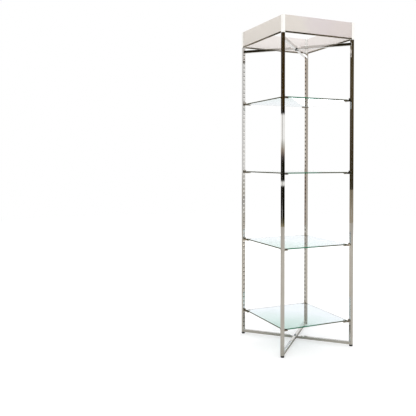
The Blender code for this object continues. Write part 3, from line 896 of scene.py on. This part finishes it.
GLASS_SIDE = 421.2 * MM
GLASS_THICKNESS = 6 * MM
GLASS_CORNER = 6 * MM
GLASS_ARRIS = 0.8 * MM
TINT_WANDER = 180 * MM
CLIP_SHADE = 24 * MM
CLIP_SHADE_END = 28 * MM

# Float glass is clear through its faces, with a mint cast painted deepest near the front corner, most of
# all on the lower shelves,
# and a bluish white painted farther off: painted light for the room's longer run through the plate
# there, and painted reflection elsewhere.
glass, tree, shader, place = new_finish(
    "clear_float_glass", {"Transmission Weight": 1.0, "IOR": 1.52, "Roughness": 0.0}
)
from_front = add_node(
    tree,
    "ShaderNodeVectorMath",
    {1: (-GLASS_SIDE / 2, -GLASS_SIDE / 2, 0)},
    {0: place},
    operation="SUBTRACT",
)
level_run = add_node(
    tree, "ShaderNodeVectorMath", {1: (1, 1, 0.2)}, {0: from_front.outputs[0]}, operation="MULTIPLY"
)
run = add_node(tree, "ShaderNodeVectorMath", None, {0: level_run.outputs[0]}, operation="LENGTH")
wipes = add_node(tree, "ShaderNodeTexNoise", {"Scale": 1 / (160 * MM), "Detail": 3.0}, {"Vector": place})
uneven = add_node(
    tree,
    "ShaderNodeMath",
    {1: TINT_WANDER},
    {0: wipes.outputs["Fac"], 2: run.outputs["Value"]},
    operation="MULTIPLY_ADD",
)
# Painted light and reflection: the mint and the bluish white are set by the distance from the front
# corner.
tint_and_painted_light = add_node(tree, "ShaderNodeValToRGB", None, {"Fac": uneven.outputs[0]})
tint_and_painted_light.color_ramp.elements[0].position = 0.12
tint_and_painted_light.color_ramp.elements[0].color = linear("#b9d8cd")
tint_and_painted_light.color_ramp.elements[1].position = 0.5
tint_and_painted_light.color_ramp.elements[1].color = linear("#eef3fa")
tree.links.new(tint_and_painted_light.outputs["Color"], shader.inputs["Base Color"])
body_green = add_node(tree, "ShaderNodeVolumeAbsorption", {"Color": linear("#4fd6b4"), "Density": 5.0})
tree.links.new(body_green.outputs[0], tree.nodes["Material Output"].inputs["Volume"])

# The ground edges gather the green of the whole plate, painted teal along a stretch from the front
# corner and from the one across from it and olive elsewhere, a painted light for how the edges catch it,
# and painted near black over the front clip, a painted shadow where the clip shades them.
green_edge, tree, shader, place = new_finish(
    "ground_green_edge", {"IOR": 1.52, "Specular IOR Level": 0.08}
)
axes = add_node(tree, "ShaderNodeSeparateXYZ", None, {"Vector": place})
along = add_node(
    tree, "ShaderNodeMath", None, {0: axes.outputs["X"], 1: axes.outputs["Y"]}, operation="SUBTRACT"
)
stretch = add_node(
    tree,
    "ShaderNodeMapRange",
    {"From Min": -GLASS_SIDE, "From Max": GLASS_SIDE},
    {"Value": along.outputs[0]},
)
# Painted light: the teal and olive stretches along the edges.
shade = add_node(tree, "ShaderNodeValToRGB", None, {"Fac": stretch.outputs["Result"]})
shade.color_ramp.elements[0].position = 0.49
shade.color_ramp.elements[0].color = linear("#3f4526")
shade.color_ramp.elements[1].position = 0.51
shade.color_ramp.elements[1].color = linear("#0e6a48")
for position, code in ((0.74, "#1c6c50"), (0.8, "#3f4528")):
    shade.color_ramp.elements.new(position).color = linear(code)
grinding = add_node(
    tree,
    "ShaderNodeMapping",
    {"Scale": (1 / (40 * MM), 1 / (40 * MM), 1 / (0.8 * MM))},
    {"Vector": place},
)
streaks = add_node(
    tree, "ShaderNodeTexNoise", {"Scale": 1.0, "Detail": 2.0}, {"Vector": grinding.outputs[0]}
)
dullness = add_node(
    tree,
    "ShaderNodeMapRange",
    {"From Min": 0.3, "From Max": 0.7, "To Min": 0.25, "To Max": 0.45},
    {"Value": streaks.outputs["Fac"]},
)
to_corner = add_node(
    tree, "ShaderNodeMath", None, {0: axes.outputs["X"], 1: axes.outputs["Y"]}, operation="MAXIMUM"
)
side = GLASS_SIDE / 2
# Painted shadow: the edges go near black over the front clip.
over_clip = add_node(
    tree,
    "ShaderNodeMapRange",
    {"From Min": -side + CLIP_SHADE_END, "From Max": -side + CLIP_SHADE},
    {"Value": to_corner.outputs[0]},
)
edge_green_with_painted_light_and_shadow = add_node(
    tree,
    "ShaderNodeMix",
    {7: linear("#2b221a")},
    {0: over_clip.outputs["Result"], 6: shade.outputs["Color"]},
    data_type="RGBA",
)
tree.links.new(edge_green_with_painted_light_and_shadow.outputs[2], shader.inputs["Base Color"])
tree.links.new(dullness.outputs["Result"], shader.inputs["Roughness"])

plate = block("plate_model", (-side, -side, 0), (side, side, GLASS_THICKNESS))
choose("EDGE", upright)
bpy.ops.mesh.bevel(offset=GLASS_CORNER, segments=8)
choose("EDGE", lambda edge: not upright(edge))
bpy.ops.mesh.bevel(offset=GLASS_ARRIS, segments=1)
bpy.ops.object.mode_set(mode="OBJECT")
plate.data.materials.append(glass)
plate.data.materials.append(green_edge)
second_finish(plate, lambda at: at.xy.length > side / 2)
smooth(plate)
for number in SHELVES:
    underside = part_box(f"glass_shelf_{number}")[0].z
    shelf = copy_to(plate, f"glass_plate_{number}", Matrix.Translation((0, 0, underside)))
    fit(shelf, f"glass_shelf_{number}", f"shelf_{number}")
bpy.data.objects.remove(plate)


# Top plugs: the same moulding in grey, pressed into the upper ends of the posts. The canopy's corners
# stand on their flanges, two of them with a pin in the bore.

# Grey polyethylene is waxy, with faint flow marks from the gate.
grey_plastic, tree, shader, place = new_finish("moulded_grey_polyethylene", {"IOR": 1.51})
flow = add_node(tree, "ShaderNodeTexNoise", {"Scale": 1 / (5 * MM), "Detail": 3.0}, {"Vector": place})
tone = add_node(tree, "ShaderNodeValToRGB", None, {"Fac": flow.outputs["Fac"]})
tone.color_ramp.elements[0].position = 0.3
tone.color_ramp.elements[0].color = linear("#8b8985")
tone.color_ramp.elements[1].position = 0.75
tone.color_ramp.elements[1].color = linear("#9d9b97")
dullness = add_node(
    tree,
    "ShaderNodeMapRange",
    {"From Min": 0.3, "From Max": 0.7, "To Min": 0.4, "To Max": 0.55},
    {"Value": flow.outputs["Fac"]},
)
tree.links.new(tone.outputs["Color"], shader.inputs["Base Color"])
tree.links.new(dullness.outputs["Result"], shader.inputs["Roughness"])
for corner in CORNERS:
    cap = copy_to(plug, f"end_plug_{corner}", at_corner(corner, POST_TOP + PIECE_GAP))
    cap.data.materials.append(grey_plastic)
    fit(cap, f"post_top_plug_{corner}", FRAME_OF[corner])
bpy.data.objects.remove(plug)


# Canopy corners: white uprights with a groove near each outer side for the panels' edges. The left and
# right ones have a pin below that drops into the post's plug.

CANOPY_BOTTOM = 1721.1 * MM
CANOPY_HEIGHT = 94 * MM
CANOPY_SIDE = 16 * MM
GROOVE_DEPTH = 3 * MM
GROOVE_LOW = -6.8 * MM
GROOVE_HIGH = -3.2 * MM
PIN_RADIUS = 3 * MM
PIN_LENGTH = 12 * MM
PIN_EASE = 0.8 * MM
CANOPY_EASE = 0.5 * MM

# White powder coat has a soft satin sheen and a fine orange-peel skin.
white_coat, tree, shader, place = new_finish("white_powder_coat", {"IOR": 1.5})
peel = add_node(tree, "ShaderNodeTexNoise", {"Scale": 1 / (1.5 * MM), "Detail": 2.0}, {"Vector": place})
tone = add_node(tree, "ShaderNodeValToRGB", None, {"Fac": peel.outputs["Fac"]})
tone.color_ramp.elements[0].position = 0.3
tone.color_ramp.elements[0].color = linear("#f7f6f3")
tone.color_ramp.elements[1].position = 0.7
tone.color_ramp.elements[1].color = linear("#fbfbf9")
dullness = add_node(
    tree,
    "ShaderNodeMapRange",
    {"From Min": 0.3, "From Max": 0.7, "To Min": 0.32, "To Max": 0.44},
    {"Value": peel.outputs["Fac"]},
)
relief = add_node(
    tree, "ShaderNodeBump", {"Strength": 0.15, "Distance": 0.05 * MM}, {"Height": peel.outputs["Fac"]}
)
tree.links.new(tone.outputs["Color"], shader.inputs["Base Color"])
tree.links.new(dullness.outputs["Result"], shader.inputs["Roughness"])
tree.links.new(relief.outputs["Normal"], shader.inputs["Normal"])

half = CANOPY_SIDE / 2
for pinned in (False, True):
    corner_model = block("corner_model", (-half, -half, 0), (half, half, CANOPY_HEIGHT))
    choose("EDGE", lambda edge: True)
    bpy.ops.mesh.bevel(offset=CANOPY_EASE, segments=3)
    root = half - GROOVE_DEPTH
    far = half + OVERRUN
    above = CANOPY_HEIGHT + OVERRUN
    cut(
        corner_model,
        block("groove_x", (root, GROOVE_LOW, -OVERRUN), (far, GROOVE_HIGH, above)),
        block("groove_y", (GROOVE_LOW, root, -OVERRUN), (GROOVE_HIGH, far, above)),
    )
    if pinned:
        pin = bar(PIN_RADIUS, -PIN_LENGTH, OVERRUN)
        choose("EDGE", lambda edge: middle_of(edge).z < -PIN_LENGTH + NEAR)
        bpy.ops.mesh.bevel(offset=PIN_EASE, segments=2)
        bpy.ops.object.mode_set(mode="OBJECT")
        change(corner_model, "BOOLEAN", operation="UNION", solver="EXACT", object=pin)
        bpy.data.objects.remove(pin)
    corner_model.data.materials.append(white_coat)
    smooth(corner_model)
    for corner in ("right", "left") if pinned else ("front", "rear"):
        standing = copy_to(corner_model, f"white_corner_{corner}", at_corner(corner, CANOPY_BOTTOM))
        fit(standing, f"canopy_post_{corner}", "canopy")
    bpy.data.objects.remove(corner_model)


# Rails: slim folded channels between the canopy's corners, dark chromed, open upwards to hold the
# panels' lower edges.

RAIL_WALL = 1.2 * MM
RAIL_WIDTH = 6 * MM
RAIL_HEIGHT = 7.5 * MM
SHEET_EASE = 0.4 * MM
PANEL_OUTSET = 5 * MM
PANEL_PLANE = -(POST_SPACING / 2 + PANEL_OUTSET)
SIDES = {"front_right": 0, "right_rear": 90, "rear_left": 180, "left_front": 270}

# Dark chrome mirrors as chrome does, but smokier and browner.
dark_chrome, tree, shader, place = new_finish("smoked_chrome_plate", {"Metallic": 1.0})
clouds = add_node(tree, "ShaderNodeTexNoise", {"Scale": 1 / (30 * MM), "Detail": 4.0}, {"Vector": place})
tone = add_node(tree, "ShaderNodeValToRGB", None, {"Fac": clouds.outputs["Fac"]})
tone.color_ramp.elements[0].position = 0.3
tone.color_ramp.elements[0].color = linear("#7d7462")
tone.color_ramp.elements[1].position = 0.75
tone.color_ramp.elements[1].color = linear("#665e4d")
haze = add_node(
    tree,
    "ShaderNodeMapRange",
    {"From Min": 0.35, "From Max": 0.75, "To Min": 0.08, "To Max": 0.18},
    {"Value": clouds.outputs["Fac"]},
)
tree.links.new(tone.outputs["Color"], shader.inputs["Base Color"])
tree.links.new(haze.outputs["Result"], shader.inputs["Roughness"])


def at_side(turn):
    """From the centre line to one side of the canopy, at its lower edge."""
    side_turn = Matrix.Rotation(math.radians(turn), 4, "Z")
    return side_turn @ Matrix.Translation((0, PANEL_PLANE, CANOPY_BOTTOM))


reach = POST_SPACING / 2 - half - PIECE_GAP
rail = block("rail_model", (-reach, -RAIL_WIDTH / 2, 0), (reach, RAIL_WIDTH / 2, RAIL_HEIGHT))
choose("EDGE", lambda edge: True)
bpy.ops.mesh.bevel(offset=SHEET_EASE, segments=3)
trough = RAIL_WIDTH / 2 - RAIL_WALL
cut(
    rail,
    block("rail_trough", (-2 * reach, -trough, RAIL_WALL), (2 * reach, trough, RAIL_HEIGHT + OVERRUN)),
)
rail.data.materials.append(dark_chrome)
smooth(rail)
for name, turn in SIDES.items():
    channel = copy_to(rail, f"channel_rail_{name}", at_side(turn))
    fit(channel, f"canopy_rail_{name}", "canopy")
bpy.data.objects.remove(rail)


# Panels: pale satin sheet, cut square with eased edges. Each was slid down the grooves of two corners
# into the rail between them.

PANEL_THICKNESS = 3 * MM
TINT_DRIFT = 300 * MM

# The sheet is an off-white acrylic, a little warmer at one side, finely frosted, and cloudy enough to
# glow with the light that falls on its other side. The face turned inwards is painted whiter, a painted
# light for the light that reaches the inner faces.
satin_sheet, tree, shader, place = new_finish(
    "frosted_pale_acrylic",
    {
        "IOR": 1.49,
        "Subsurface Weight": 0.85,
        "Subsurface Radius": (1.0, 1.0, 1.0),
        "Subsurface Scale": 9 * MM,
    },
)
cloud = add_node(tree, "ShaderNodeTexNoise", {"Scale": 1 / (120 * MM), "Detail": 3.0}, {"Vector": place})
axes = add_node(tree, "ShaderNodeSeparateXYZ", None, {"Vector": place})
drift = add_node(
    tree,
    "ShaderNodeMath",
    {1: TINT_DRIFT},
    {0: cloud.outputs["Fac"], 2: axes.outputs["X"]},
    operation="MULTIPLY_ADD",
)
tone = add_node(tree, "ShaderNodeValToRGB", None, {"Fac": drift.outputs[0]})
tone.color_ramp.elements[0].position = 0.0
tone.color_ramp.elements[0].color = linear("#d0cbc6")
tone.color_ramp.elements[1].position = 0.15
tone.color_ramp.elements[1].color = linear("#ccc5c6")
tone.color_ramp.elements.new(0.4).color = linear("#cec6c3")
width_x = add_node(tree, "ShaderNodeMath", None, {0: axes.outputs["X"]}, operation="ABSOLUTE")
width_y = add_node(tree, "ShaderNodeMath", None, {0: axes.outputs["Y"]}, operation="ABSOLUTE")
outward = add_node(
    tree, "ShaderNodeMath", None, {0: width_x.outputs[0], 1: width_y.outputs[0]}, operation="MAXIMUM"
)
is_outside = add_node(
    tree, "ShaderNodeMath", {1: -PANEL_PLANE}, {0: outward.outputs[0]}, operation="GREATER_THAN"
)
# Painted light: the face turned inwards is whiter than the outer one.
inner_face_painted_light = add_node(
    tree,
    "ShaderNodeMix",
    {6: linear("#e5dfdd")},
    {0: is_outside.outputs[0], 7: tone.outputs["Color"]},
    data_type="RGBA",
)
frost = add_node(tree, "ShaderNodeTexNoise", {"Scale": 1 / (0.7 * MM), "Detail": 2.0}, {"Vector": place})
dullness = add_node(
    tree,
    "ShaderNodeMapRange",
    {"From Min": 0.3, "From Max": 0.7, "To Min": 0.4, "To Max": 0.52},
    {"Value": frost.outputs["Fac"]},
)
relief = add_node(
    tree, "ShaderNodeBump", {"Strength": 0.12, "Distance": 0.04 * MM}, {"Height": frost.outputs["Fac"]}
)
tree.links.new(inner_face_painted_light.outputs[2], shader.inputs["Base Color"])
tree.links.new(dullness.outputs["Result"], shader.inputs["Roughness"])
tree.links.new(relief.outputs["Normal"], shader.inputs["Normal"])

reach = POST_SPACING / 2 - half + GROOVE_DEPTH - PIECE_GAP
thick = PANEL_THICKNESS / 2
panel = block("panel_model", (-reach, -thick, RAIL_WALL + PIECE_GAP), (reach, thick, CANOPY_HEIGHT))
choose("EDGE", lambda edge: True)
bpy.ops.mesh.bevel(offset=SHEET_EASE, segments=3)
panel.data.materials.append(satin_sheet)
smooth(panel)
for name, turn in SIDES.items():
    sheet = copy_to(panel, f"satin_panel_{name}", at_side(turn))
    fit(sheet, f"canopy_panel_{name}", "canopy")
bpy.data.objects.remove(panel)
